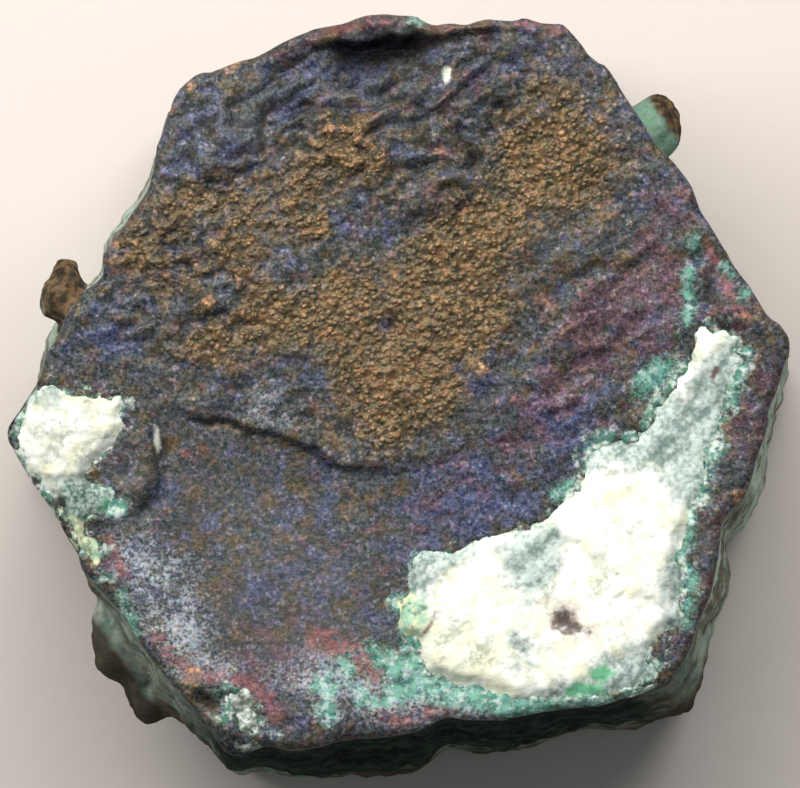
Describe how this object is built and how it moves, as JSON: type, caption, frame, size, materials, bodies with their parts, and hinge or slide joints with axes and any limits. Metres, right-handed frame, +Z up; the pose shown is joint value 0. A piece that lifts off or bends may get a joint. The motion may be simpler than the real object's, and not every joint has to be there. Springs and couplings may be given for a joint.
{
  "type": "native copper specimen",
  "caption": "Short six-sided prism of tarnished native copper after aragonite, with white aragonite remnants set in its rough upper face.",
  "frame": {"origin": "under the middle of the whole box, on the plane that the flat base rests on", "axes": "+Z up, the prism's own axis, from the flat base to the rough upper face; +Y towards the upper face's raised lip; +X towards the large white remnant's side"},
  "size_m": [0.025, 0.0242, 0.0119],
  "materials": {
    "tarnished_copper": "rough, tarnished dark brown and purple, with green and red crusts",
    "aragonite": "chalky white, fibrous, stained green at its edges"
  },
  "bodies": {
    "root": {"copper_prism": "tarnished_copper", "aragonite_mass_right": "aragonite", "aragonite_patch_left": "aragonite", "aragonite_pocket_lower_left": "aragonite"}
  },
  "joints": []
}
